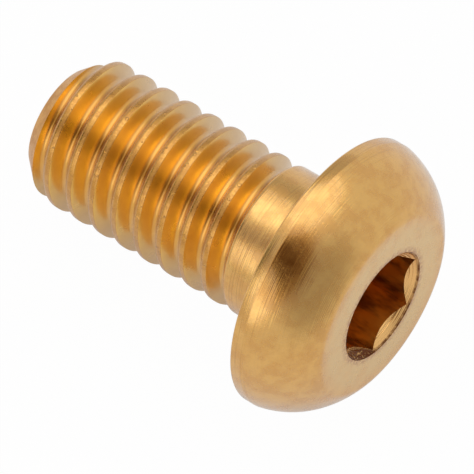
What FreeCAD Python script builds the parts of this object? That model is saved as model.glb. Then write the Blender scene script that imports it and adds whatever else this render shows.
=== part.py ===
import FreeCAD, Part
import Sketcher

import math
import os

# Button head socket screw, turned from one brass bar. All lengths are millimetres and
# all angles are degrees.
#
# The screw is drawn upright round its own Z axis: the bearing face under the head lies
# at Z = 0, the head stands above it and the threaded shank hangs below it. The finished
# screw is then laid down as it comes to rest, on the rim of its head and on the last
# crest of its thread. The origin stays in the middle of the bearing face, and the head
# points to +X.

SIZES = {
    # Shank
    "grip_length": 8.0,             # under the head to the tip
    "shank_diameter": 3.96,         # plain stretch under the head
    "plain_length": 0.9,            # the thread never reaches this far up
    "crest_taper": 0.02,            # the thread is this much slimmer at the tip
    "under_head_fillet": 0.2,
    "tip_diameter": 2.84,
    "tip_length": 0.6,              # length of the tapered tip
    # Thread
    "thread_pitch": 0.7,
    "thread_angle": 60.0,
    "crest_width": 0.14,
    "root_width": 0.115,
    "groove_end": 1.7,              # last full depth of the groove, below the head
    "groove_end_turn": 286.7,       # direction of that place round the screw
    "runout_turns": 0.5,            # the groove climbs out of the shank over this much
    "runout_clearance": 0.05,       # and ends this far outside it
    # Head
    "head_diameter": 7.33,
    "head_height": 1.9,
    "rim_height": 0.32,             # short cylinder under the crown
    "rim_edge_radius": 0.05,
    "crown_radius": 2.34,           # arc of the crown in section
    "crown_flat_diameter": 5.0,     # turned flat on top
    # Hexagon socket
    "socket_width": 2.5,            # across flats
    "socket_depth": 1.3,
    "socket_turn": 34.7,            # direction of one corner round the screw
    "countersink_diameter": 3.0,
    "countersink_angle": 90.0,
    "pilot_diameter": 2.4,          # hole drilled before the hexagon is pressed in
    "pilot_point_angle": 120.0,
}

NODE = "button_head_screw"
HEXAGON_SIDES = 6

# Names for the numbers that a sketch uses for the ends of a side and for its own axes.
START, END, CENTRE = 1, 2, 3
ORIGIN = (-1, 1)
ACROSS_AXIS, UP_AXIS = -1, -2

UP = FreeCAD.Vector(0, 0, 1)


def sketch_on(body, role, name):
    """Starts a sketch on one of the body's own origin planes."""
    sketch = body.newObject("Sketcher::SketchObject", name)
    plane = next(item for item in body.Origin.OriginFeatures if item.Role == role)
    sketch.AttachmentSupport = (plane, [""])
    sketch.MapMode = "FlatFace"
    return sketch


def straight(first, second):
    return Part.LineSegment(FreeCAD.Vector(*first, 0), FreeCAD.Vector(*second, 0))


def draw_loop(sketch, sides):
    """Adds the sides in order and joins the end of each to the start of the next."""
    for side in sides:
        sketch.addGeometry(side)
    for side in range(len(sides)):
        constrain(sketch, "Coincident", side, END, (side + 1) % len(sides), START)


def draw_polygon(sketch, corners):
    """Draws straight sides round the corners. Side 0 starts at the first corner."""
    following = corners[1:] + corners[:1]
    draw_loop(sketch, [straight(*ends) for ends in zip(corners, following)])


def constrain(sketch, kind, *where):
    return sketch.addConstraint(Sketcher.Constraint(kind, *where))


def dimension(sketch, name, value, expression, kind, *where):
    """Adds a dimension at the value it is drawn with and binds it to the sizes."""
    index = constrain(sketch, kind, *where, value)
    sketch.renameConstraint(index, name)
    sketch.setExpression(f"Constraints.{name}", expression)


def write_sheet(document):
    """Puts every driving size into the spreadsheet, each under its own alias."""
    sheet = document.addObject("Spreadsheet::Sheet", "sizes")
    for row, (alias, value) in enumerate(SIZES.items(), start=1):
        sheet.set(f"A{row}", alias)
        sheet.set(f"B{row}", str(value))
        sheet.setAlias(f"B{row}", alias)
    document.recompute()


def crown_arc(rim, rim_height, flat, height, radius):
    """The crown's arc in section, from the top of the rim up to the flat."""
    across, up = flat - rim, height - rim_height
    chord = math.hypot(across, up)
    inward = math.sqrt(radius ** 2 - chord ** 2 / 4)
    centre = FreeCAD.Vector((rim + flat) / 2 - inward * up / chord,
                            (rim_height + height) / 2 + inward * across / chord, 0)
    start = math.atan2(rim_height - centre.y, rim - centre.x)
    end = math.atan2(height - centre.y, flat - centre.x)
    return Part.ArcOfCircle(Part.Circle(centre, UP, radius), start, end)


def turn_blank(body):
    """Turns the blank: tapered tip, shank, bearing face, rim, crown and flat."""
    length, height = SIZES["grip_length"], SIZES["head_height"]
    tip, shank = SIZES["tip_diameter"] / 2, SIZES["shank_diameter"] / 2
    crest = shank - SIZES["crest_taper"] / 2
    rim, flat = SIZES["head_diameter"] / 2, SIZES["crown_flat_diameter"] / 2
    plain, rise, rim_height = SIZES["plain_length"], SIZES["tip_length"], SIZES["rim_height"]

    sketch = sketch_on(body, "XZ_Plane", "blank_section")
    draw_loop(sketch, [
        straight((0, -length), (tip, -length)),
        straight((tip, -length), (crest, rise - length)),
        straight((crest, rise - length), (shank, -plain)),
        straight((shank, -plain), (shank, 0)),
        straight((shank, 0), (rim, 0)),
        straight((rim, 0), (rim, rim_height)),
        crown_arc(rim, rim_height, flat, height, SIZES["crown_radius"]),
        straight((flat, height), (0, height)),
        straight((0, height), (0, -length)),
    ])
    tip_face, tip_taper, crests, plain_side, bearing, rim_side, crown, top, axis = range(9)
    for side in (tip_face, bearing, top):
        constrain(sketch, "Horizontal", side)
    for side in (plain_side, rim_side, axis):
        constrain(sketch, "Vertical", side)
    constrain(sketch, "PointOnObject", axis, START, UP_AXIS)
    constrain(sketch, "PointOnObject", bearing, START, ACROSS_AXIS)

    dimension(sketch, "tip_radius", tip, "sizes.tip_diameter / 2",
              "DistanceX", *ORIGIN, tip_face, END)
    dimension(sketch, "crest_radius", crest, "(sizes.shank_diameter - sizes.crest_taper) / 2",
              "DistanceX", *ORIGIN, crests, START)
    dimension(sketch, "shank_radius", shank, "sizes.shank_diameter / 2",
              "DistanceX", *ORIGIN, plain_side, START)
    dimension(sketch, "rim_radius", rim, "sizes.head_diameter / 2",
              "DistanceX", *ORIGIN, rim_side, START)
    dimension(sketch, "flat_radius", flat, "sizes.crown_flat_diameter / 2",
              "DistanceX", *ORIGIN, top, START)
    dimension(sketch, "grip", length, "sizes.grip_length",
              "DistanceY", tip_face, END, *ORIGIN)
    dimension(sketch, "tip_rise", rise, "sizes.tip_length",
              "DistanceY", tip_taper, START, tip_taper, END)
    dimension(sketch, "plain", plain, "sizes.plain_length",
              "DistanceY", plain_side, START, plain_side, END)
    dimension(sketch, "rim_rise", rim_height, "sizes.rim_height",
              "DistanceY", rim_side, START, rim_side, END)
    dimension(sketch, "head_rise", height, "sizes.head_height",
              "DistanceY", *ORIGIN, top, START)
    dimension(sketch, "crown", SIZES["crown_radius"], "sizes.crown_radius", "Radius", crown)

    blank = body.newObject("PartDesign::Revolution", "turned_blank")
    blank.Profile = sketch
    blank.ReferenceAxis = (sketch, ["V_Axis"])
    blank.Angle = 360


def round_edge(body, name, radius, height, expression):
    """Rounds the circular edge that lies at this radius and height on the body."""
    def miss(edge):
        if not isinstance(edge.Curve, Part.Circle):
            return math.inf
        return abs(edge.Curve.Radius - radius) + abs(edge.Curve.Center.z - height)

    body.Document.recompute()
    base = body.Tip
    misses = [miss(edge) for edge in base.Shape.Edges]
    fillet = body.newObject("PartDesign::Fillet", name)
    fillet.Base = (base, [f"Edge{misses.index(min(misses)) + 1}"])
    fillet.setExpression("Radius", expression)


def turn_out(body, sketch, name):
    """Cuts the section away all round the screw's axis."""
    groove = body.newObject("PartDesign::Groove", name)
    groove.Profile = sketch
    groove.ReferenceAxis = (sketch, ["V_Axis"])
    groove.Angle = 360


def press_hexagon(body):
    """The hexagon socket, pressed in from the flat on top of the head."""
    corner = SIZES["socket_width"] / 2 / math.cos(math.pi / HEXAGON_SIDES)
    turns = [side * math.tau / HEXAGON_SIDES for side in range(HEXAGON_SIDES)]
    sketch = sketch_on(body, "XY_Plane", "hexagon")
    draw_polygon(sketch, [(corner * math.cos(turn), corner * math.sin(turn)) for turn in turns])
    around = sketch.addGeometry(Part.Circle(FreeCAD.Vector(), UP, corner), True)
    constrain(sketch, "Coincident", around, CENTRE, *ORIGIN)
    constrain(sketch, "PointOnObject", 0, START, ACROSS_AXIS)
    for side in range(HEXAGON_SIDES):
        constrain(sketch, "PointOnObject", side, START, around)
    for side in range(1, HEXAGON_SIDES):
        constrain(sketch, "Equal", 0, side)
    dimension(sketch, "corner_radius", corner,
              f"sizes.socket_width / 2 / cos(180 deg / {HEXAGON_SIDES})", "Radius", around)
    turned = FreeCAD.Rotation(UP, SIZES["socket_turn"])
    sketch.AttachmentOffset = FreeCAD.Placement(FreeCAD.Vector(), turned)
    sketch.setExpression("AttachmentOffset.Base.z", "sizes.head_height")
    sketch.setExpression("AttachmentOffset.Rotation.Angle", "sizes.socket_turn")

    socket = body.newObject("PartDesign::Pocket", "hexagon_socket")
    socket.Profile = sketch
    socket.Type = "Length"
    socket.setExpression("Length", "sizes.socket_depth")


def drill_pilot_point(body):
    """The point of the pilot drill, left in the socket's floor."""
    pilot, floor = SIZES["pilot_diameter"] / 2, SIZES["head_height"] - SIZES["socket_depth"]
    half_point = math.radians(SIZES["pilot_point_angle"] / 2)
    depth = pilot / math.tan(half_point)
    sketch = sketch_on(body, "XZ_Plane", "pilot_point_section")
    draw_polygon(sketch, [(0, floor), (0, floor - depth), (pilot, floor)])
    constrain(sketch, "PointOnObject", 0, START, UP_AXIS)
    constrain(sketch, "Vertical", 0)
    constrain(sketch, "Horizontal", 2)
    dimension(sketch, "floor_height", floor, "sizes.head_height - sizes.socket_depth",
              "DistanceY", *ORIGIN, 0, START)
    dimension(sketch, "pilot_radius", pilot, "sizes.pilot_diameter / 2",
              "DistanceX", 0, START, 1, END)
    dimension(sketch, "point_depth", depth,
              "sizes.pilot_diameter / 2 / tan(sizes.pilot_point_angle * 1 deg / 2)",
              "DistanceY", 0, END, 0, START)
    turn_out(body, sketch, "pilot_point")


def countersink_mouth(body):
    """The countersink round the socket's mouth. Its cutter ends inside the hexagon, at
    half the hexagon's width, so its small end leaves no mark."""
    mouth, small = SIZES["countersink_diameter"] / 2, SIZES["socket_width"] / 4
    top = SIZES["head_height"]
    depth = (mouth - small) / math.tan(math.radians(SIZES["countersink_angle"] / 2))
    sketch = sketch_on(body, "XZ_Plane", "countersink_section")
    draw_polygon(sketch, [(0, top), (0, top - depth), (small, top - depth), (mouth, top)])
    constrain(sketch, "PointOnObject", 0, START, UP_AXIS)
    constrain(sketch, "Vertical", 0)
    constrain(sketch, "Horizontal", 1)
    constrain(sketch, "Horizontal", 3)
    dimension(sketch, "mouth_height", top, "sizes.head_height", "DistanceY", *ORIGIN, 0, START)
    dimension(sketch, "mouth_radius", mouth, "sizes.countersink_diameter / 2",
              "DistanceX", 0, START, 2, END)
    dimension(sketch, "small_radius", small, "sizes.socket_width / 4",
              "DistanceX", 0, START, 1, END)
    dimension(sketch, "sink_depth", depth,
              "(sizes.countersink_diameter / 2 - sizes.socket_width / 4)"
              " / tan(sizes.countersink_angle * 1 deg / 2)",
              "DistanceY", 0, END, 0, START)
    turn_out(body, sketch, "countersink")


def groove_section(body):
    """Section of the thread groove, where the groove is last at its full depth. It stands
    out of the shank by half a crest, so the sections of neighbouring turns never meet."""
    slope = math.tan(math.radians(SIZES["thread_angle"] / 2))
    reach = SIZES["crest_width"] / 2
    outer = SIZES["shank_diameter"] / 2 + reach
    half_mouth = (SIZES["thread_pitch"] - SIZES["crest_width"]) / 2 + reach * slope
    half_root = SIZES["root_width"] / 2
    root = outer - (half_mouth - half_root) / slope
    level = -SIZES["groove_end"]

    sketch = sketch_on(body, "XZ_Plane", "groove_section")
    draw_polygon(sketch, [(outer, level + half_mouth), (root, level + half_root),
                          (root, level - half_root), (outer, level - half_mouth)])
    upper_flank, root_side, lower_flank, outer_side = range(4)
    constrain(sketch, "Vertical", root_side)
    constrain(sketch, "Vertical", outer_side)
    constrain(sketch, "Equal", upper_flank, lower_flank)
    dimension(sketch, "outer_radius", outer, "(sizes.shank_diameter + sizes.crest_width) / 2",
              "DistanceX", *ORIGIN, outer_side, START)
    dimension(sketch, "mouth", 2 * half_mouth,
              "sizes.thread_pitch - sizes.crest_width"
              " + sizes.crest_width * tan(sizes.thread_angle * 1 deg / 2)",
              "DistanceY", outer_side, START, outer_side, END)
    dimension(sketch, "root", 2 * half_root, "sizes.root_width",
              "DistanceY", root_side, END, root_side, START)
    dimension(sketch, "root_radius", root,
              "(sizes.shank_diameter + sizes.crest_width) / 2 * 1 mm"
              " - (Constraints.mouth - Constraints.root) / 2"
              " / tan(sizes.thread_angle * 1 deg / 2)",
              "DistanceX", *ORIGIN, root_side, START)
    dimension(sketch, "lower_corner", SIZES["groove_end"] + half_mouth,
              "sizes.groove_end * 1 mm + Constraints.mouth / 2",
              "DistanceY", lower_flank, END, *ORIGIN)
    turned = FreeCAD.Rotation(FreeCAD.Vector(0, 1, 0), SIZES["groove_end_turn"])
    sketch.AttachmentOffset = FreeCAD.Placement(FreeCAD.Vector(), turned)
    sketch.setExpression("AttachmentOffset.Rotation.Angle", "sizes.groove_end_turn")
    return sketch


def cut_thread(body):
    """Cuts the right-hand groove from its last full depth down past the tip, and lets it
    climb out of the shank the other way."""
    section = groove_section(body)

    groove = body.newObject("PartDesign::SubtractiveHelix", "thread_groove")
    groove.Profile = section
    groove.ReferenceAxis = (section, ["V_Axis"])
    groove.Mode = "pitch-height-angle"
    groove.Reversed = True
    groove.setExpression("Pitch", "sizes.thread_pitch")
    groove.setExpression("Height", "sizes.grip_length - sizes.groove_end + sizes.thread_pitch")

    runout = body.newObject("PartDesign::SubtractiveHelix", "thread_runout")
    runout.Profile = section
    runout.ReferenceAxis = (section, ["V_Axis"])
    runout.Mode = "height-turns-growth"
    runout.setExpression("Turns", "sizes.runout_turns")
    runout.setExpression("Height", "sizes.thread_pitch * sizes.runout_turns")
    runout.setExpression("Growth",
                         "((sizes.shank_diameter / 2 + sizes.runout_clearance) * 1 mm"
                         " - groove_section.Constraints.root_radius) / sizes.runout_turns")


def lay_down(body):
    """Tips the screw over onto the rim of its head and the last full crest."""
    rim, crest = SIZES["head_diameter"] / 2, SIZES["shank_diameter"] / 2
    reach = SIZES["grip_length"] - SIZES["tip_length"]
    tipped = 90 - math.degrees(math.atan((rim - crest) / reach))
    body.Placement = FreeCAD.Placement(
        FreeCAD.Vector(), FreeCAD.Rotation(FreeCAD.Vector(0, 1, 0), tipped))
    body.setExpression("Placement.Rotation.Angle",
                       "90 deg - atan((sizes.head_diameter - sizes.shank_diameter) / 2"
                       " / (sizes.grip_length - sizes.tip_length))")


def make_screw(document):
    body = document.addObject("PartDesign::Body", NODE)
    body.Label = NODE
    turn_blank(body)
    round_edge(body, "under_head_fillet", SIZES["shank_diameter"] / 2, 0,
               "sizes.under_head_fillet")
    round_edge(body, "rim_edge", SIZES["head_diameter"] / 2, 0, "sizes.rim_edge_radius")
    press_hexagon(body)
    drill_pilot_point(body)
    countersink_mouth(body)
    cut_thread(body)
    lay_down(body)
    return body


def check(document, bodies):
    """Stops before anything is written if a feature failed or a solid isn't sound."""
    for item in document.Objects:
        if {"Invalid", "Error"} & set(item.State):
            raise RuntimeError(f"{item.Name} failed: {item.State}")
    for body in bodies:
        if body.Shape.isNull() or not body.Shape.isValid() or len(body.Shape.Solids) != 1:
            raise RuntimeError(f"{body.Label} isn't one sound solid")


def main():
    document = FreeCAD.newDocument("screw")
    write_sheet(document)
    screw = make_screw(document)
    document.recompute()
    check(document, [screw])
    os.makedirs("parts", exist_ok=True)
    screw.Shape.exportStep(f"parts/{screw.Label}.step")
    box = screw.Shape.BoundBox
    print(f"{screw.Label}: {screw.Shape.Volume:.2f} cubic mm, "
          f"{box.XLength:.2f} x {box.YLength:.2f} x {box.ZLength:.2f} mm, "
          f"lowest point {box.ZMin:.3f} mm")


main()
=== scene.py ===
import math

import bpy
import numpy as np
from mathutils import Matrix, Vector


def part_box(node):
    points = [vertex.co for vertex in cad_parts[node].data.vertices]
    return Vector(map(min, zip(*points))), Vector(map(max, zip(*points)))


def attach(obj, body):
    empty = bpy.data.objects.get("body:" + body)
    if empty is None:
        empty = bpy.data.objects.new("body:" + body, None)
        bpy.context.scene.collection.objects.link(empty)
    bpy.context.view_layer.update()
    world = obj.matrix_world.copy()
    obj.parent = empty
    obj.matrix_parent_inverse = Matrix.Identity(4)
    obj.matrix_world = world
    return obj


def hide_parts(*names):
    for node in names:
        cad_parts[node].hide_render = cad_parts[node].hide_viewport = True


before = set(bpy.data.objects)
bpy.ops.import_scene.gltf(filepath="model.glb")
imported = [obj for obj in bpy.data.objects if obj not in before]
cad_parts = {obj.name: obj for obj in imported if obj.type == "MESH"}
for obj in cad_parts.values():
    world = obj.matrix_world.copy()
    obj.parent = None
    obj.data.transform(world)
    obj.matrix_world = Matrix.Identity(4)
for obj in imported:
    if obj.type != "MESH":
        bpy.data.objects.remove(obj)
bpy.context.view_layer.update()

bl_info = {
    "name": "Button head socket screw",
    "version": (1, 0, 0),
    "blender": (4, 5, 0),
    "location": "3D View > Sidebar > Screw",
    "description": "Makes a brass button head socket screw, lying on the floor of a small photo studio",
    "category": "Add Mesh",
}

# The screw is modelled upright round the Z axis, with the bearing face under its head at
# height 0, the head above it and the shank below. It is laid down at the end, as it rests:
# on the rim of its head and on the last crest of its thread.

MM = 0.001
HAIR = 0.001 * MM            # heights that differ by less are the same
SAME_PLACE = 0.0002 * MM     # points that are closer become one
PAST_TIP = 0.3 * MM          # what the wound thread has to spare below the tip
FULL_TURN = math.tau
STEPS_PER_TURN = 144
NODE = "button_head_screw"


def length(name, description, millimetres):
    """A length that the panel shows, given here in millimetres."""
    return bpy.props.FloatProperty(
        name=name, description=description, default=millimetres * MM, min=0,
        unit="LENGTH", subtype="DISTANCE", precision=6)


def angle(name, description, degrees):
    """An angle that the panel shows, given here in degrees."""
    return bpy.props.FloatProperty(
        name=name, description=description, default=math.radians(degrees),
        unit="ROTATION", subtype="ANGLE")


class ScrewSizes(bpy.types.PropertyGroup):
    """Sizes of the screw."""

    grip_length: length("Length", "From under the head to the tip", 8.0)
    shank_diameter: length("Shank", "Plain stretch under the head", 3.96)
    plain_length: length("Plain stretch", "The crests start to taper below it", 0.9)
    crest_taper: length("Crest taper", "How much slimmer the thread is at the tip", 0.02)
    under_head_fillet: length("Fillet", "Radius between shank and head", 0.2)
    tip_diameter: length("Tip", "Flat end of the tapered tip", 2.84)
    tip_length: length("Tip length", "Length of the tapered tip", 0.6)
    thread_pitch: length("Pitch", "From one crest to the next", 0.7)
    crest_width: length("Crest", "Across each crest, with its worn edges", 0.18)
    crest_edge: length("Crest edge", "Its radius on the side of the head", 0.02)
    crest_brow: length("Crest brow", "Its radius on the side of the tip", 0.12)
    flank_top: length("Flank top", "Depth to which the tip's side of a crest is clean", 0.22)
    root_round: length("Root", "Radius at the bottom of the groove", 0.12)
    thread_angle: angle("Thread angle", "Between the two flanks", 54)
    groove_end: length("Groove end", "Last full depth of the groove, below the head", 1.7)
    groove_end_turn: angle("Groove end turn", "Direction of that place", 286.7)
    runout_turns: bpy.props.FloatProperty(
        name="Run-out", description="Turns in which the groove climbs out", default=0.4425)
    head_diameter: length("Head", "Across the head", 7.33)
    head_height: length("Head height", "From bearing face to flat top", 1.9)
    rim_height: length("Rim", "Short cylinder under the crown", 0.32)
    rim_edge: length("Rim edge", "Radius of the lower edge of the rim", 0.05)
    rim_shoulder: length("Rim shoulder", "Softened edge between rim and crown", 0.06)
    crown_radius: length("Crown", "Arc of the crown in section", 2.34)
    crown_flat: length("Flat top", "Across the turned flat", 5.0)
    crown_shoulder: length("Crown shoulder", "Softened edge between crown and flat", 0.3)
    socket_width: length("Socket", "Across the flats of the hexagon", 2.5)
    socket_depth: length("Socket depth", "Down to the floor of the hexagon", 1.3)
    socket_turn: angle("Socket turn", "Direction of one corner of the hexagon", 29.7)
    countersink: length("Countersink", "Across the mouth of the socket", 3.0)
    burr_turn: angle("Burr", "Direction of the torn side of that mouth", 303)
    pilot: length("Pilot hole", "Drilled before the hexagon is pressed in", 2.4)
    pilot_point: angle("Pilot point", "Angle of the drill's point", 120)


def linear(hex_colour):
    """Turns an sRGB hex colour into the linear colour that shaders work with."""
    parts = [int(hex_colour[place:place + 2], 16) / 255 for place in (1, 3, 5)]
    return tuple(part / 12.92 if part <= 0.04045 else ((part + 0.055) / 1.055) ** 2.4
                 for part in parts)


def colour(name, description, hex_colour):
    """A colour that the panel shows, given here as an sRGB hex colour."""
    return bpy.props.FloatVectorProperty(
        name=name, description=description, default=linear(hex_colour), min=0, max=1,
        subtype="COLOR")


class ScrewColours(bpy.types.PropertyGroup):
    """Colours of the brass and of the studio."""

    brass: colour("Brass", "Turned brass", "#ECB865")
    brass_shade: colour("Brass, dull", "Turned brass where it is dull", "#E1A959")
    brass_ring: colour("Brass, rings", "In the rings that the tool left", "#CC954A")
    stained_brass: colour("Stain", "Brown stain on the flat at the socket's mouth", "#B4742C")
    wiped_flat: colour("Flat", "Pale film that a wipe left round the socket", "#E8C077")
    cut_brass: colour("Groove", "Fresh brass in the groove", "#FECC5A")
    cut_brass_shade: colour("Groove, dull", "Where it is dull", "#F6C254")
    # Painted shade: the darker brown that the root of the groove is painted.
    root_shade: colour("Root", "Old cutting oil in the root", "#DC9238")
    worn_brass: colour("Crest", "Rubbed brass on the crests", "#E0A54F")
    worn_brass_shade: colour("Crest, dull", "Where it is dull", "#CF9344")
    socket_brass: colour("Socket", "Pressed brass in the socket", "#F6B248")
    socket_brass_shade: colour("Socket, dark", "Where it is dark", "#945E28")
    countersunk_brass: colour("Mouth", "Countersunk mouth of the socket", "#F6C27C")
    mouth_dirt: colour("Dirt", "Oily dirt in the burr round the socket", "#6E360A")
    # Painted sheen: the pale colour that groove and crest brass are painted towards where they are seen
    # aslant.
    painted_sheen: colour("Dust", "Pale dust in and round the thread", "#D0B696")
    tent_gap: colour("Tent gap", "Warm dark gap in the tent", "#FFAC58")
    floor: colour("Floor", "Pale floor of the studio", "#F2F2F2")


def clear_selection():
    """Leaves nothing selected, so that the next operator acts on the new piece alone."""
    for item in list(bpy.context.selected_objects):
        item.select_set(False)
    bpy.context.view_layer.objects.active = None


def take(piece):
    """Selects one piece alone and makes it the active one."""
    clear_selection()
    piece.select_set(True)
    bpy.context.view_layer.objects.active = piece


def edit(piece):
    """Goes into edit mode with one piece alone."""
    take(piece)
    bpy.ops.object.mode_set(mode="EDIT")


def finish_edit():
    """Leaves edit mode."""
    bpy.ops.object.mode_set(mode="OBJECT")


def edit_faces(piece, wanted):
    """Goes into edit mode with only the wanted faces selected."""
    edit(piece)
    bpy.ops.mesh.select_mode(type="FACE")
    bpy.ops.mesh.select_all(action="DESELECT")
    finish_edit()
    for face in piece.data.polygons:
        face.select = wanted(face)
    edit(piece)


def across_and_up(across, up):
    """A point of a section, which is drawn in the XZ plane."""
    return Vector((across, 0, up))


def arc(centre, radius, start, end, steps):
    """Points along an arc of a section, from the start to the end angle."""
    ways = [start + (end - start) * step / steps for step in range(steps + 1)]
    return [centre + radius * across_and_up(math.cos(way), math.sin(way)) for way in ways]


def rounded(before, corner, after, radius, steps):
    """Points of an arc that rounds the corner between two straight runs."""
    back, on = (before - corner).normalized(), (after - corner).normalized()
    half = back.angle(on) / 2
    centre = corner + (back + on).normalized() * radius / math.sin(half)
    reach = radius / math.tan(half)
    start, end = corner + back * reach - centre, corner + on * reach - centre
    first = math.atan2(start.z, start.x)
    sweep = math.remainder(math.atan2(end.z, end.x) - first, FULL_TURN)
    return arc(centre, radius, first, first + sweep, steps)


def draw_section(name, points):
    """Draws a section as a chain of edges, one extrusion at a time."""
    clear_selection()
    bpy.ops.mesh.primitive_plane_add(size=MM)
    section = bpy.context.object
    section.name = name
    bpy.ops.object.mode_set(mode="EDIT")
    bpy.ops.mesh.select_all(action="SELECT")
    bpy.ops.mesh.merge(type="CENTER")
    bpy.ops.transform.translate(value=points[0])
    for start, end in zip(points, points[1:]):
        bpy.ops.mesh.extrude_region_move(TRANSFORM_OT_translate={"value": end - start})
    finish_edit()
    return section


def crown_centre(sizes):
    """Centre of the crown's arc, in section."""
    low = across_and_up(sizes.head_diameter / 2, sizes.rim_height)
    high = across_and_up(sizes.crown_flat / 2, sizes.head_height)
    chord = high - low
    inward = across_and_up(-chord.z, chord.x).normalized()
    return (low + high) / 2 + inward * math.sqrt(sizes.crown_radius ** 2 - chord.length_squared / 4)


def head_section(sizes):
    """Section of the head, from the foot of its fillet to the edge of the flat top."""
    shank, rim = sizes.shank_diameter / 2, sizes.head_diameter / 2
    fillet, flat, top = sizes.under_head_fillet, sizes.crown_flat / 2, sizes.head_height
    clear = 0.03 * MM
    centre = crown_centre(sizes)
    low, high = across_and_up(rim, sizes.rim_height), across_and_up(flat, top)
    start = math.atan2(low.z - centre.z, low.x - centre.x)
    end = math.atan2(high.z - centre.z, high.x - centre.x)
    crown = arc(centre, sizes.crown_radius, start, end, 44)
    shoulder = rounded(across_and_up(rim, 0), low, crown[2], sizes.rim_shoulder, 4)
    brow = rounded(crown[-4], high, across_and_up(0, top), sizes.crown_shoulder, 5)
    return [
        *arc(across_and_up(shank + fillet, -fillet), fillet, math.pi, math.pi / 2, 8),
        across_and_up(shank + fillet + clear, 0),
        across_and_up(rim - sizes.rim_edge - clear, 0),
        *arc(across_and_up(rim - sizes.rim_edge, sizes.rim_edge), sizes.rim_edge,
             -math.pi / 2, 0, 4),
        *shoulder,
        *crown[2:-3],
        *brow,
        across_and_up(flat - sizes.crown_shoulder, top),
    ]


def turn_head(sizes):
    """Turns the head from its section and closes its flat top."""
    head = draw_section("brass_screw", head_section(sizes))
    edit(head)
    bpy.ops.mesh.select_all(action="SELECT")
    bpy.ops.mesh.spin(steps=STEPS_PER_TURN, angle=FULL_TURN, center=(0, 0, 0), axis=(0, 0, 1))
    bpy.ops.mesh.select_all(action="SELECT")
    bpy.ops.mesh.remove_doubles(threshold=SAME_PLACE)
    finish_edit()
    close_ring(head, sizes.head_height)
    return head


def close_ring(piece, height):
    """Fills the open ring that lies at this height with one flat face."""
    edit(piece)
    bpy.ops.mesh.select_mode(type="EDGE")
    bpy.ops.mesh.select_all(action="DESELECT")
    bpy.ops.mesh.select_non_manifold(extend=False, use_wire=False, use_boundary=True,
                                     use_multi_face=False, use_non_contiguous=False,
                                     use_verts=False)
    finish_edit()
    corners = piece.data.vertices
    for side in piece.data.edges:
        far = max(abs(corners[corner].co.z - height) for corner in side.vertices)
        side.select = side.select and far < HAIR
    edit(piece)
    bpy.ops.mesh.edge_face_add()
    bpy.ops.mesh.select_mode(type="VERT")
    finish_edit()


def root_radius(sizes):
    """How far the bottom of the groove is from the screw's axis."""
    half_angle = sizes.thread_angle / 2
    vee = (sizes.thread_pitch - sizes.crest_width) / 2 / math.tan(half_angle)
    return sizes.shank_diameter / 2 - vee + sizes.root_round * (1 / math.sin(half_angle) - 1)


def thread_section(sizes):
    """Section of one pitch, from crest to crest, with the middle of the groove at height 0."""
    half_angle = sizes.thread_angle / 2
    crest = sizes.shank_diameter / 2
    half_pitch = sizes.thread_pitch / 2
    half_mouth = half_pitch - sizes.crest_width / 2
    vee = half_mouth / math.tan(half_angle)
    edge = across_and_up(crest, half_mouth)
    floor = across_and_up(crest - vee, 0)
    middle = across_and_up(crest, half_pitch)
    root = arc(across_and_up(root_radius(sizes) + sizes.root_round, 0), sizes.root_round,
               math.pi, math.pi / 2 + half_angle, 4)

    def side(radius):
        brow = rounded(floor, edge, middle, radius, 4)
        flank = [root[-1].lerp(brow[0], part / 4) for part in (1, 2, 3)]
        return [*root, *flank, *brow, brow[-1].lerp(middle, 0.5), middle]

    lower = [across_and_up(point.x, -point.z) for point in reversed(side(sizes.crest_edge)[1:])]
    return [*lower, *side(sizes.crest_brow)]


def wind_thread(sizes):
    """Winds one pitch of the thread up round the shank, from below the tip to the head."""
    pitch = sizes.thread_pitch
    groove_height = -sizes.groove_end - pitch * sizes.groove_end_turn / FULL_TURN
    below = math.ceil((sizes.grip_length - sizes.groove_end) / pitch) + 1
    turns = below + math.ceil(sizes.groove_end / pitch) + 3
    start = across_and_up(0, groove_height - below * pitch)
    thread = draw_section("thread", [start + point for point in thread_section(sizes)])
    screw = thread.modifiers.new("wind", "SCREW")
    screw.axis = "Z"
    screw.angle = FULL_TURN
    screw.screw_offset = pitch
    screw.iterations = turns
    screw.steps = screw.render_steps = STEPS_PER_TURN
    screw.use_merge_vertices = True
    screw.merge_threshold = SAME_PLACE
    take(thread)
    bpy.ops.object.modifier_apply(modifier="wind")
    shape_thread_ends(thread, sizes)
    return thread


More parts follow.
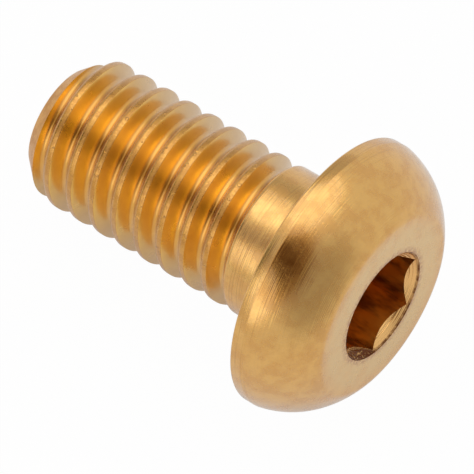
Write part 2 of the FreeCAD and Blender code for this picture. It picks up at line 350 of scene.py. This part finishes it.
def shape_thread_ends(thread, sizes):
    """Lets the groove run out of the shank under the head, and brings both ends of the
    wound thread to flat rings: at the foot of the head's fillet and below the tip."""
    mesh = thread.data
    place = np.empty(len(mesh.vertices) * 3, np.float32)
    mesh.vertices.foreach_get("co", place)
    place = place.reshape(-1, 3).astype(float)
    across = np.hypot(place[:, 0], place[:, 1])
    turn = (np.arctan2(place[:, 1], place[:, 0]) - sizes.groove_end_turn) / FULL_TURN
    height = place[:, 2]
    pitch, plain = sizes.thread_pitch, sizes.shank_diameter / 2

    # How far each point is from the middle of its own groove, and how many turns that
    # groove is past its last full depth there.
    grooves = (height + sizes.groove_end) / pitch - turn
    own = np.round(grooves)
    off_middle = (grooves - own) * pitch
    past = own + turn
    share = 1 - np.clip(past / sizes.runout_turns, 0, 1)
    half_mouth = (pitch - sizes.crest_width) / 2
    inside = np.abs(off_middle) <= half_mouth
    stretched = share * half_mouth + (np.abs(off_middle) - half_mouth) * (
        (pitch / 2 - share * half_mouth) / (pitch / 2 - half_mouth))
    moved = np.where(inside, share * off_middle, np.sign(off_middle) * stretched)
    height = height + moved - off_middle
    across = plain - share * (plain - across)

    tapered = np.clip((-height - sizes.plain_length)
                      / (sizes.grip_length - sizes.tip_length - sizes.plain_length), 0, 1)
    across = across - tapered * sizes.crest_taper / 2

    top, bottom = -sizes.under_head_fillet, -sizes.grip_length - PAST_TIP
    across = np.where(height > top, plain, across)
    across = np.where(height < bottom, sizes.tip_diameter / 2, across)
    height = np.clip(height, bottom, top)

    way = turn * FULL_TURN + sizes.groove_end_turn
    place = np.stack([across * np.cos(way), across * np.sin(way), height], axis=1)
    mesh.vertices.foreach_set("co", place.astype(np.float32).ravel())
    mesh.update()
    edit(thread)
    bpy.ops.mesh.select_all(action="SELECT")
    bpy.ops.mesh.remove_doubles(threshold=SAME_PLACE)
    bpy.ops.mesh.dissolve_degenerate(threshold=SAME_PLACE / 2)
    finish_edit()
    close_ring(thread, bottom)


def cut(piece, tool):
    """Cuts the tool's shape out of the piece, then takes the tool away."""
    step = piece.modifiers.new("cut", "BOOLEAN")
    step.operation = "DIFFERENCE"
    step.solver = "EXACT"
    step.object = tool
    take(piece)
    bpy.ops.object.modifier_apply(modifier="cut")
    bpy.data.objects.remove(tool)


def cone_tool(small, large, low, high):
    """A tool in the shape of a cone standing on its smaller end."""
    clear_selection()
    bpy.ops.mesh.primitive_cone_add(
        vertices=STEPS_PER_TURN, radius1=small, radius2=large, depth=high - low,
        location=(0, 0, (high + low) / 2))
    return bpy.context.object


def tip_tool(sizes):
    """The hollow cutter that tapers the tip: a disc with a conical hollow in its top."""
    tip, crest = sizes.tip_diameter / 2, (sizes.shank_diameter - sizes.crest_taper) / 2
    spare = 0.2 * MM
    mouth = crest + spare * (crest - tip) / sizes.tip_length
    low, high = -sizes.grip_length - MM, sizes.tip_length + spare - sizes.grip_length
    clear_selection()
    bpy.ops.mesh.primitive_cylinder_add(
        vertices=STEPS_PER_TURN, radius=mouth + MM, depth=high - low,
        location=(0, 0, (high + low) / 2), rotation=(0, 0, FULL_TURN / STEPS_PER_TURN / 2))
    tool = bpy.context.object
    bpy.ops.object.transform_apply(location=True, rotation=True, scale=True)
    edit_faces(tool, lambda face: face.center.z > high - HAIR)
    bpy.ops.mesh.inset(thickness=0)
    bpy.ops.transform.resize(value=(mouth / (mouth + MM), mouth / (mouth + MM), 1))
    bpy.ops.mesh.extrude_region_move(
        TRANSFORM_OT_translate={"value": (0, 0, -sizes.tip_length - spare)})
    bpy.ops.transform.resize(value=(tip / mouth, tip / mouth, 1))
    bpy.ops.mesh.select_mode(type="VERT")
    finish_edit()
    return tool


def press_socket(piece, sizes):
    """Drills the pilot hole's point, presses the hexagon and countersinks its mouth."""
    floor = sizes.head_height - sizes.socket_depth
    spare = 0.02 * MM
    point = math.tan(sizes.pilot_point / 2)
    pilot = sizes.pilot / 2
    cut(piece, cone_tool(0, pilot + spare * point, floor - pilot / point, floor + spare))
    clear_selection()
    bpy.ops.mesh.primitive_cylinder_add(
        vertices=6, radius=sizes.socket_width / math.sqrt(3), depth=sizes.socket_depth + MM,
        location=(0, 0, floor + (sizes.socket_depth + MM) / 2))
    hexagon = bpy.context.object
    bpy.ops.transform.rotate(value=corner_turn(hexagon, sizes.socket_turn), orient_axis="Z",
                             center_override=(0, 0, 0))
    cut(piece, hexagon)
    mouth = sizes.countersink / 2
    cut(piece, cone_tool(mouth / 2, mouth + MM / 2, sizes.head_height - mouth / 2,
                         sizes.head_height + MM / 2))


def corner_turn(hexagon, wanted):
    """How far to turn the hexagon so that one of its corners points the wanted way."""
    corner = hexagon.data.vertices[0].co
    return math.remainder(wanted - math.atan2(corner.y, corner.x), FULL_TURN / 6)


def lying_angle(sizes):
    """How far the upright screw tips over, onto the rim of its head and the last crest of
    its thread."""
    rim, crest = sizes.head_diameter / 2, sizes.shank_diameter / 2
    return math.pi / 2 - math.atan((rim - crest) / (sizes.grip_length - sizes.tip_length))


def lay_down(piece, sizes):
    """Lays the finished screw down as it rests."""
    take(piece)
    piece.rotation_euler = (0, lying_angle(sizes), 0)
    bpy.ops.object.transform_apply(location=True, rotation=True, scale=True)


def make_screw_mesh(sizes, colours):
    """Models the whole screw as one closed piece."""
    head = turn_head(sizes)
    thread = wind_thread(sizes)
    take(head)
    thread.select_set(True)
    bpy.ops.object.join()
    edit(head)
    bpy.ops.mesh.select_all(action="SELECT")
    bpy.ops.mesh.remove_doubles(threshold=SAME_PLACE)
    bpy.ops.mesh.normals_make_consistent(inside=False)
    finish_edit()
    cut(head, tip_tool(sizes))
    press_socket(head, sizes)
    give_finishes(head, sizes, colours)
    lay_down(head, sizes)
    take(head)
    bpy.ops.object.shade_smooth_by_angle(angle=math.radians(30))
    return head


# The sockets of a colour mix, which share their names with those of other mixes.
MIX_SHARE, MIX_FIRST, MIX_LAST, MIX_COLOUR = 0, 6, 7, 2


def add_node(tree, kind, settings=None, inputs=None):
    """Adds a node with its settings. An input is a value, or the output that feeds it."""
    node = tree.nodes.new(kind)
    for name, value in (settings or {}).items():
        setattr(node, name, value)
    for name, value in (inputs or {}).items():
        if isinstance(value, bpy.types.NodeSocket):
            tree.links.new(value, node.inputs[name])
        else:
            node.inputs[name].default_value = value
    return node


def new_material(name):
    """A material with no nodes yet."""
    material = bpy.data.materials.new(name)
    material.use_nodes = True
    material.node_tree.nodes.clear()
    return material


def upright_place(tree, sizes):
    """A point's place on the screw as if it still stood upright, and how far it is from the
    screw's axis."""
    lying = add_node(tree, "ShaderNodeTexCoord")
    place = add_node(tree, "ShaderNodeMapping", inputs={
        "Vector": lying.outputs["Object"], "Rotation": (0, -lying_angle(sizes), 0)})
    aside = add_node(tree, "ShaderNodeVectorMath", {"operation": "MULTIPLY"}, {
        0: place.outputs["Vector"], 1: (1, 1, 0)})
    across = add_node(tree, "ShaderNodeVectorMath", {"operation": "LENGTH"}, {
        0: aside.outputs["Vector"]})
    return place.outputs["Vector"], across.outputs["Value"]


def tool_lines(tree, place, across, spacing, run):
    """Fine lines that a cutting edge leaves round the screw, this far apart, each of them
    fading in and out over the length of its run."""
    stretched = add_node(tree, "ShaderNodeVectorMath", {"operation": "MULTIPLY"}, {
        0: place, 1: (1 / run, 1 / run, 2 / spacing)})
    outward = add_node(tree, "ShaderNodeMath", {"operation": "MULTIPLY"}, {
        0: across, 1: 2 / spacing})
    lines = add_node(tree, "ShaderNodeTexNoise", {"noise_dimensions": "4D"}, {
        "Vector": stretched.outputs["Vector"], "W": outward.outputs["Value"], "Scale": 1.0,
        "Detail": 1.0, "Roughness": 0.5})
    return lines.outputs["Fac"]


def patches(tree, place, size, detail, low, high, outside=0.0, inside=1.0):
    """Soft uneven patches of about this size, with one value outside them and another in
    them. They start at the low level of their noise and are full at the high one."""
    noise = add_node(tree, "ShaderNodeTexNoise", inputs={
        "Vector": place, "Scale": 0.5 / size, "Detail": detail, "Roughness": 0.6})
    share = add_node(tree, "ShaderNodeMapRange", {"interpolation_type": "SMOOTHSTEP"}, {
        "Value": noise.outputs["Fac"], "From Min": low, "From Max": high,
        "To Min": outside, "To Max": inside})
    return share.outputs["Result"]


def mottled(tree, place, size, low, high, bright, dull):
    """A bright colour that turns dull in soft patches of about this size."""
    brass = add_node(tree, "ShaderNodeMix", {"data_type": "RGBA"}, {
        MIX_SHARE: patches(tree, place, size, 3, low, high), MIX_FIRST: (*bright, 1),
        MIX_LAST: (*dull, 1)})
    return brass.outputs[MIX_COLOUR]


def sheen_paled(tree, colours, brass, painted_sheen):
    """Brass painted paler, towards the sheen colour, where it is seen aslant, by this share at most: a
    painted sheen.
    """
    slant = add_node(tree, "ShaderNodeLayerWeight", inputs={"Blend": 0.5})
    share = add_node(tree, "ShaderNodeMapRange", {"interpolation_type": "SMOOTHSTEP"}, {
        "Value": slant.outputs["Facing"], "From Min": 0.22, "From Max": 0.6,
        "To Min": 0, "To Max": painted_sheen})
    paled = add_node(tree, "ShaderNodeMix", {"data_type": "RGBA"}, {
        MIX_SHARE: share.outputs["Result"], MIX_FIRST: brass, MIX_LAST: (*colours.painted_sheen, 1)})
    return paled.outputs[MIX_COLOUR]


def finish_brass(tree, brass, roughness, normal, film=0.0, bare=1.0):
    """Metal of this colour, under this share of a thin clear film of oil. It is bare where no
    dirt covers it."""
    shader = add_node(tree, "ShaderNodeBsdfPrincipled", inputs={
        "Base Color": brass, "Metallic": bare, "Roughness": roughness, "Normal": normal,
        "Specular IOR Level": 0.1, "Coat Weight": film, "Coat Roughness": 0.12,
        "Coat IOR": 1.5})
    add_node(tree, "ShaderNodeOutputMaterial", inputs={"Surface": shader.outputs["BSDF"]})


def turned_brass(sizes, colours):
    """Free-cutting brass, turned on a lathe. The tool's feed leaves rings about 0.05 mm
    apart, so the light spreads across them, and a thin film of oil pales its edges. The
    crown is polished after that, and only the shank and the rim keep rings that show. A wipe
    has left a pale smear on the flat, round the socket, and its mouth is stained."""
    material = new_material("turned_brass")
    tree = material.node_tree
    place, across = upright_place(tree, sizes)
    rings = tool_lines(tree, place, across, 0.05 * MM, 1.6 * MM)
    brass = mottled(tree, place, 0.2 * MM, 0.35, 0.65, colours.brass, colours.brass_shade)
    height = add_node(tree, "ShaderNodeSeparateXYZ", inputs={"Vector": place}).outputs["Z"]
    kept = add_node(tree, "ShaderNodeMapRange", {"interpolation_type": "SMOOTHSTEP"}, {
        "Value": height, "From Min": 0.1 * MM, "From Max": 0.9 * MM,
        "To Min": 0.75, "To Max": 0.08})
    dark = add_node(tree, "ShaderNodeMapRange", {"interpolation_type": "SMOOTHSTEP"}, {
        "Value": rings, "From Min": 0.5, "From Max": 0.7, "To Min": 0,
        "To Max": kept.outputs["Result"]})
    brass = add_node(tree, "ShaderNodeMix", {"data_type": "RGBA"}, {
        MIX_SHARE: dark.outputs["Result"], MIX_FIRST: brass,
        MIX_LAST: (*colours.brass_ring, 1)}).outputs[MIX_COLOUR]
    on_flat = add_node(tree, "ShaderNodeMapRange", inputs={
        "Value": height, "From Min": sizes.head_height - 0.05 * MM,
        "From Max": sizes.head_height - 0.01 * MM, "To Min": 0, "To Max": 1}).outputs["Result"]
    edge, mouth = sizes.crown_flat / 2, sizes.countersink / 2
    smear = add_node(tree, "ShaderNodeMapRange", {"interpolation_type": "SMOOTHSTEP"}, {
        "Value": across, "From Min": edge - 0.5 * MM, "From Max": edge,
        "To Min": patches(tree, place, 0.25 * MM, 3, 0, 0.6, 0, on_flat), "To Max": 0})
    brass = add_node(tree, "ShaderNodeMix", {"data_type": "RGBA"}, {
        MIX_SHARE: smear.outputs["Result"], MIX_FIRST: brass,
        MIX_LAST: (*colours.wiped_flat, 1)}).outputs[MIX_COLOUR]
    grime = add_node(tree, "ShaderNodeMapRange", {"interpolation_type": "SMOOTHSTEP"}, {
        "Value": across, "From Min": mouth, "From Max": mouth + 0.22 * MM,
        "To Min": patches(tree, place, 0.05 * MM, 2, 0.3, 0.65, 0, on_flat), "To Max": 0})
    brass = add_node(tree, "ShaderNodeMix", {"data_type": "RGBA"}, {
        MIX_SHARE: grime.outputs["Result"], MIX_FIRST: brass,
        MIX_LAST: (*colours.stained_brass, 1)}).outputs[MIX_COLOUR]
    felt = add_node(tree, "ShaderNodeBump", inputs={"Height": rings, "Distance": 0.005 * MM})
    # The polish leaves marks of about 0.005 mm, drawn 0.03 mm across so that they show.
    grain = patches(tree, place, 0.03 * MM, 2, 0, 1)
    surface = add_node(tree, "ShaderNodeBump", inputs={
        "Height": grain, "Distance": 0.001 * MM, "Normal": felt.outputs["Normal"]})
    roughness = patches(tree, place, 0.2 * MM, 3, 0.3, 0.7, 0.2, 0.3)
    finish_brass(tree, brass, roughness, surface.outputs["Normal"], film=1.0)
    return material


def cut_brass(sizes, colours):
    """Fresh metal in the groove of the thread, cut to its depth in a few passes. It is
    brighter than the rest, light that is caught in the groove comes out a deeper gold, and
    the root of the groove is painted a darker brown, as painted shade."""
    material = new_material("cut_thread_brass")
    tree = material.node_tree
    place, across = upright_place(tree, sizes)
    brass = mottled(tree, place, 0.3 * MM, 0.35, 0.7, colours.cut_brass, colours.cut_brass_shade)
    root = root_radius(sizes)
    # Painted shade: darker brown towards the bottom of the groove.
    root_shade_share = add_node(tree, "ShaderNodeMapRange", {"interpolation_type": "SMOOTHSTEP"}, {
        "Value": across, "From Min": root, "From Max": root + 0.08 * MM,
        "To Min": 0.6, "To Max": 0})
    brass = add_node(tree, "ShaderNodeMix", {"data_type": "RGBA"}, {
        MIX_SHARE: root_shade_share.outputs["Result"], MIX_FIRST: brass,
        MIX_LAST: (*colours.root_shade, 1)}).outputs[MIX_COLOUR]
    # The die's scores are about 0.02 mm apart, drawn at 0.06 mm so that they show.
    scores = tool_lines(tree, place, across, 0.06 * MM, 0.8 * MM)
    surface = add_node(tree, "ShaderNodeBump", inputs={
        "Height": scores, "Distance": 0.0015 * MM})
    roughness = patches(tree, place, 0.3 * MM, 2, 0.3, 0.7, 0.27, 0.35)
    # Painted sheen: the brass is painted paler where it is seen aslant.
    brass = sheen_paled(tree, colours, brass, 0.65)
    finish_brass(tree, brass, roughness, surface.outputs["Normal"], film=1.0)
    return material


def worn_brass(sizes, colours):
    """The crests, rubbed dull by other screws in the bag, with fine dents and with nicks
    about 0.09 mm across."""
    material = new_material("worn_crest_brass")
    tree = material.node_tree
    place, _across = upright_place(tree, sizes)
    brass = mottled(tree, place, 0.12 * MM, 0.35, 0.65, colours.worn_brass,
                    colours.worn_brass_shade)
    dents = add_node(tree, "ShaderNodeBump", inputs={
        "Height": patches(tree, place, 0.03 * MM, 2, 0, 1), "Distance": 0.0012 * MM})
    nicks = add_node(tree, "ShaderNodeBump", inputs={
        "Height": patches(tree, place, 0.09 * MM, 1, 0.64, 0.72), "Distance": 0.015 * MM,
        "Normal": dents.outputs["Normal"]})
    roughness = patches(tree, place, 0.03 * MM, 2, 0.3, 0.7, 0.24, 0.4)
    # Painted sheen: the brass is painted paler where it is seen aslant.
    brass = sheen_paled(tree, colours, brass, 0.4)
    finish_brass(tree, brass, roughness, nicks.outputs["Normal"], film=0.5)
    return material


def pointed_brass(sizes, colours):
    """The tapered tip, turned with a pointing tool before the thread was cut. It is dry and
    a little dull, so it stays golden where it is seen aslant."""
    material = new_material("pointed_tip_brass")
    tree = material.node_tree
    place, across = upright_place(tree, sizes)
    brass = mottled(tree, place, 0.15 * MM, 0.35, 0.65, colours.worn_brass,
                    colours.worn_brass_shade)
    rings = add_node(tree, "ShaderNodeBump", inputs={
        "Height": tool_lines(tree, place, across, 0.07 * MM, 1.2 * MM), "Distance": 0.004 * MM})
    roughness = patches(tree, place, 0.15 * MM, 3, 0.3, 0.7, 0.25, 0.38)
    finish_brass(tree, brass, roughness, rings.outputs["Normal"], film=0.15)
    return material


def pressed_brass(sizes, colours):
    """The socket's walls and floor, dragged by the punch and left dull and dark."""
    material = new_material("pressed_socket_brass")
    tree = material.node_tree
    place, _across = upright_place(tree, sizes)
    dragged = add_node(tree, "ShaderNodeVectorMath", {"operation": "MULTIPLY"}, {
        0: place, 1: (1, 1, 0.4)}).outputs["Vector"]
    brass = mottled(tree, dragged, 0.24 * MM, 0.38, 0.62, colours.socket_brass,
                    colours.socket_brass_shade)
    drags = add_node(tree, "ShaderNodeBump", inputs={
        "Height": patches(tree, dragged, 0.05 * MM, 3, 0, 1), "Distance": 0.003 * MM})
    roughness = patches(tree, dragged, 0.2 * MM, 3, 0.3, 0.7, 0.3, 0.45)
    finish_brass(tree, brass, roughness, drags.outputs["Normal"])
    return material


def countersunk_brass(sizes, colours):
    """The countersunk mouth of the socket, wiped clean and bright. The cutter chattered and
    left rings 0.08 mm apart, and a torn, speckled burr with dirt in it on one side."""
    material = new_material("countersunk_brass")
    tree = material.node_tree
    place, across = upright_place(tree, sizes)
    mouth = sizes.countersink / 2
    torn_side = (math.cos(sizes.burr_turn), math.sin(sizes.burr_turn), 0)
    aside = add_node(tree, "ShaderNodeVectorMath", {"operation": "DOT_PRODUCT"}, {
        0: place, 1: torn_side})
    torn = add_node(tree, "ShaderNodeMapRange", {"interpolation_type": "SMOOTHSTEP"}, {
        "Value": aside.outputs["Value"], "From Min": mouth * 0.8, "From Max": mouth * 0.88,
        "To Min": 0, "To Max": 1})
    specks = add_node(tree, "ShaderNodeMath", {"operation": "MULTIPLY"}, {
        0: torn.outputs["Result"], 1: patches(tree, place, 0.035 * MM, 2, 0.35, 0.5, 0.3, 1)})
    edge = add_node(tree, "ShaderNodeMapRange", {"interpolation_type": "SMOOTHSTEP"}, {
        "Value": across, "From Min": mouth - 0.07 * MM, "From Max": mouth - 0.02 * MM,
        "To Min": 0, "To Max": patches(tree, place, 0.06 * MM, 2, 0.3, 0.7, 0.4, 1)})
    dirt = add_node(tree, "ShaderNodeMath", {"operation": "MAXIMUM"}, {
        0: specks.outputs["Value"], 1: edge.outputs["Result"]})
    brass = add_node(tree, "ShaderNodeMix", {"data_type": "RGBA"}, {
        MIX_SHARE: dirt.outputs["Value"], MIX_FIRST: (*colours.countersunk_brass, 1),
        MIX_LAST: (*colours.mouth_dirt, 1)})
    rings = add_node(tree, "ShaderNodeBump", inputs={
        "Height": tool_lines(tree, place, across, 0.08 * MM, 3 * MM), "Distance": 0.05 * MM})
    burr = add_node(tree, "ShaderNodeBump", inputs={
        "Height": specks.outputs["Value"], "Distance": 0.03 * MM,
        "Normal": rings.outputs["Normal"]})
    bare = add_node(tree, "ShaderNodeMath", {"operation": "SUBTRACT"}, {
        0: 1.0, 1: dirt.outputs["Value"]})
    finish_brass(tree, brass.outputs[MIX_COLOUR], 0.25, burr.outputs["Normal"],
                 bare=bare.outputs["Value"])
    return material


FINISHES = (turned_brass, cut_brass, worn_brass, pointed_brass, pressed_brass, countersunk_brass)
TURNED, CUT, WORN, POINTED, PRESSED, COUNTERSUNK = range(len(FINISHES))


def finish_of(sizes, face):
    """Which finish a face has, from its place on the upright screw. The last groove, where
    it is full, climbs towards the head by one pitch in each turn."""
    height, across = face.center.z, math.hypot(face.center.x, face.center.y)
    top, crest = sizes.head_height, sizes.shank_diameter / 2
    if 0 < height < top - HAIR and across < sizes.countersink / 2 + HAIR:
        cone_foot = top - (sizes.countersink - sizes.socket_width) / 2
        return COUNTERSUNK if face.normal.z > 0.5 and height > cone_foot else PRESSED
    taper = Vector((crest - sizes.tip_diameter / 2, sizes.tip_length)).normalized()
    on_taper = height < sizes.tip_length - sizes.grip_length and (
        abs(face.normal.z + taper.x) < 0.03)
    if on_taper:
        return POINTED
    if height > -sizes.under_head_fillet or height < HAIR - sizes.grip_length:
        return TURNED
    turn = math.atan2(face.center.y, face.center.x) - sizes.groove_end_turn
    last_groove = sizes.thread_pitch * (turn / FULL_TURN % 1 - 1) - sizes.groove_end
    outward = face.normal.xy.dot(face.center.xy) / across
    on_flank = outward < 0.6
    if on_flank and face.normal.z < 0 and across > crest - sizes.flank_top:
        return TURNED
    if on_flank or across < crest - sizes.crest_width:
        return CUT
    return TURNED if height > last_groove else WORN


def give_finishes(piece, sizes, colours):
    """Gives each face of the upright screw its finish."""
    piece.data.materials.clear()
    for finish in FINISHES:
        piece.data.materials.append(finish(sizes, colours))
    for face in piece.data.polygons:
        face.material_index = finish_of(sizes, face)


class MakeScrew(bpy.types.Operator):
    """Make the brass screw"""

    bl_idname = "brass_screw.make_screw"
    bl_label = "Make screw"
    bl_options = {"REGISTER", "UNDO"}

    def execute(self, context):
        sizes, colours = context.scene.screw_sizes, context.scene.screw_colours
        screw = make_screw_mesh(sizes, colours)
        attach(screw, "root")
        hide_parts(NODE)
        return {"FINISHED"}


# The camera stands where the screw fills the picture as it does in the photograph.
CAMERA_AZIMUTH = math.radians(35.600)
CAMERA_ELEVATION = math.radians(71.033)
CAMERA_PLACE = Vector((36.324, -54.258, 192.372)) * MM
CAMERA_FIELD = math.radians(3.2674)

# How white the floor is to the camera, and how white to what mirrors it.
FLOOR_SEEN = 0.98
FLOOR_MIRRORED = 0.3


def from_camera(slant, turn):
    """The direction that slants this far from the camera's own, as seen from the screw. It
    is turned round the camera's line of sight, from its right-hand side towards its top."""
    azimuth, elevation = CAMERA_AZIMUTH, CAMERA_ELEVATION
    right = Vector((math.cos(azimuth), math.sin(azimuth), 0))
    back = Vector((math.sin(azimuth) * math.cos(elevation),
                   -math.cos(azimuth) * math.cos(elevation), math.sin(elevation)))
    slant, turn = math.radians(slant), math.radians(turn)
    aside = right * math.cos(turn) + back.cross(right) * math.sin(turn)
    return back * math.cos(slant) + aside * math.sin(slant)


def place_camera():
    """Places the camera and makes it the scene's."""
    clear_selection()
    bpy.ops.object.camera_add(location=CAMERA_PLACE,
                              rotation=(math.pi / 2 - CAMERA_ELEVATION, 0, CAMERA_AZIMUTH))
    camera = bpy.context.object
    camera.name = "camera"
    camera.data.sensor_width = 36
    camera.data.lens = 18 / math.tan(CAMERA_FIELD / 2)
    camera.data.clip_start = 10 * MM
    camera.data.clip_end = 10
    bpy.context.scene.camera = camera


def lay_floor(colours, low):
    """A sheet of white card under the screw, with the screw's soft shadow on it. The camera
    sees it all but white, and the metal mirrors more of its shadow."""
    clear_selection()
    bpy.ops.mesh.primitive_plane_add(size=2, location=(0, 0, low))
    floor = bpy.context.object
    floor.name = "floor"
    bpy.ops.object.transform_apply(location=True, rotation=True, scale=True)
    material = new_material("white_card")
    tree = material.node_tree
    card = add_node(tree, "ShaderNodeBsdfDiffuse", inputs={"Color": (*colours.floor, 1)})
    white = add_node(tree, "ShaderNodeEmission", inputs={"Color": (1, 1, 1, 1), "Strength": 1})
    path = add_node(tree, "ShaderNodeLightPath")
    mirrored = add_node(tree, "ShaderNodeMath", {"operation": "MAXIMUM"}, {
        0: path.outputs["Is Glossy Ray"], 1: path.outputs["Is Transmission Ray"]})
    mirrored = add_node(tree, "ShaderNodeMath", {"operation": "MULTIPLY"}, {
        0: mirrored.outputs["Value"], 1: FLOOR_MIRRORED})
    seen = add_node(tree, "ShaderNodeMath", {"operation": "MULTIPLY"}, {
        0: path.outputs["Is Camera Ray"], 1: FLOOR_SEEN})
    share = add_node(tree, "ShaderNodeMath", {"operation": "MAXIMUM"}, {
        0: mirrored.outputs["Value"], 1: seen.outputs["Value"]})
    both = add_node(tree, "ShaderNodeMixShader", inputs={
        "Fac": share.outputs["Value"], 1: card.outputs["BSDF"], 2: white.outputs["Emission"]})
    add_node(tree, "ShaderNodeOutputMaterial", inputs={"Surface": both.outputs["Shader"]})
    floor.data.materials.append(material)


def add_soft_box(name, slant, turn, spread, brightness):
    """A round soft box, seen from the screw in this direction, with this half angle."""
    distance = 250 * MM
    way = from_camera(slant, turn)
    radius = distance * math.tan(math.radians(spread))
    clear_selection()
    bpy.ops.object.light_add(type="AREA", location=way * distance,
                             rotation=way.to_track_quat("Z", "Y").to_euler())
    box = bpy.context.object
    box.name = name
    box.data.shape = "DISK"
    box.data.size = 2 * radius
    box.data.energy = brightness * (math.pi * radius) ** 2
    box.visible_camera = False


def dimmed(tree, slant, turn, inner, outer, level):
    """How bright the tent is: this level within the inner angle of a direction, and its
    full brightness past the outer angle."""
    towards = add_node(tree, "ShaderNodeTexCoord")
    near = add_node(tree, "ShaderNodeVectorMath", {"operation": "DOT_PRODUCT"}, {
        0: towards.outputs["Generated"], 1: from_camera(slant, turn)})
    bright = add_node(tree, "ShaderNodeMapRange", {"interpolation_type": "SMOOTHSTEP"}, {
        "Value": near.outputs["Value"], "From Min": math.cos(math.radians(outer)),
        "From Max": math.cos(math.radians(inner)), "To Min": 1, "To Max": level})
    return bright.outputs["Result"]


# The tent's brightness, its gap, and its parts that are darker or brighter than the rest: how
# far each slants from the camera, its turn, its inner and outer angle, and its brightness.
TENT_LEVEL = 0.75
TENT_GAP = (15, 190, 16, 38, 0.1)
TENT_PARTS = (
    (40, -47, 15, 45, 0.56),   # the side away from the lamps
    (68, 160, 8, 20, 0.1),     # the stand that holds the upper lamp
    (67, 120, 8, 22, 1.5),     # a window
    (92, 98, 10, 34, 0.62),    # where the tent ends, past the window
    (88, 210, 12, 40, 0.75),   # where it ends on the near side
)


def light_tent(colours):
    """The white tent round the screw, warm and dark at the gap that the camera looks
    through."""
    world = bpy.data.worlds.new("soft_tent")
    bpy.context.scene.world = world
    world.use_nodes = True
    tree = world.node_tree
    tree.nodes.clear()
    level = gap = dimmed(tree, *TENT_GAP)
    for part in TENT_PARTS:
        level = add_node(tree, "ShaderNodeMath", {"operation": "MULTIPLY"}, {
            0: level, 1: dimmed(tree, *part)}).outputs["Value"]
    level = add_node(tree, "ShaderNodeMath", {"operation": "MULTIPLY"}, {
        0: level, 1: TENT_LEVEL})
    white = add_node(tree, "ShaderNodeMapRange", {"interpolation_type": "SMOOTHSTEP"}, {
        "Value": gap, "From Min": 0.2, "From Max": 1.0, "To Min": 0, "To Max": 1})
    cloth = add_node(tree, "ShaderNodeMix", {"data_type": "RGBA"}, {
        MIX_SHARE: white.outputs["Result"], MIX_FIRST: (*colours.tent_gap, 1),
        MIX_LAST: (1, 1, 1, 1)})
    glow = add_node(tree, "ShaderNodeBackground", inputs={
        "Color": cloth.outputs[MIX_COLOUR], "Strength": level.outputs["Value"]})
    add_node(tree, "ShaderNodeOutputWorld", inputs={"Surface": glow.outputs["Background"]})


class MakeStudio(bpy.types.Operator):
    """Make the floor, the light and the camera"""

    bl_idname = "brass_screw.make_studio"
    bl_label = "Make studio"
    bl_options = {"REGISTER", "UNDO"}

    def execute(self, context):
        lay_floor(context.scene.screw_colours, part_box(NODE)[0].z)
        light_tent(context.scene.screw_colours)
        add_soft_box("upper_soft_box", slant=47.7, turn=90.7, spread=30, brightness=0.7)
        add_soft_box("lower_soft_box", slant=47.6, turn=209, spread=24, brightness=0.7)
        place_camera()
        context.scene.view_settings.view_transform = "Standard"
        return {"FINISHED"}


class ScrewPanel(bpy.types.Panel):
    """Sizes, colours and steps of the screw"""

    bl_idname = "VIEW3D_PT_brass_screw"
    bl_label = "Brass screw"
    bl_space_type = "VIEW_3D"
    bl_region_type = "UI"
    bl_category = "Screw"

    def draw(self, context):
        for step in (MakeScrew, MakeStudio):
            self.layout.operator(step.bl_idname)
        for group in (context.scene.screw_sizes, context.scene.screw_colours):
            column = self.layout.column()
            for name in group.bl_rna.properties.keys():
                if name not in {"rna_type", "name"}:
                    column.prop(group, name)


CLASSES = (ScrewSizes, ScrewColours, MakeScrew, MakeStudio, ScrewPanel)


def register():
    for item in CLASSES:
        bpy.utils.register_class(item)
    bpy.types.Scene.screw_sizes = bpy.props.PointerProperty(type=ScrewSizes)
    bpy.types.Scene.screw_colours = bpy.props.PointerProperty(type=ScrewColours)


def unregister():
    del bpy.types.Scene.screw_colours
    del bpy.types.Scene.screw_sizes
    for item in reversed(CLASSES):
        bpy.utils.unregister_class(item)


def main():
    """Makes the screw and its studio."""
    register()
    bpy.ops.brass_screw.make_screw()
    bpy.ops.brass_screw.make_studio()


if __name__ == "__main__":
    main()
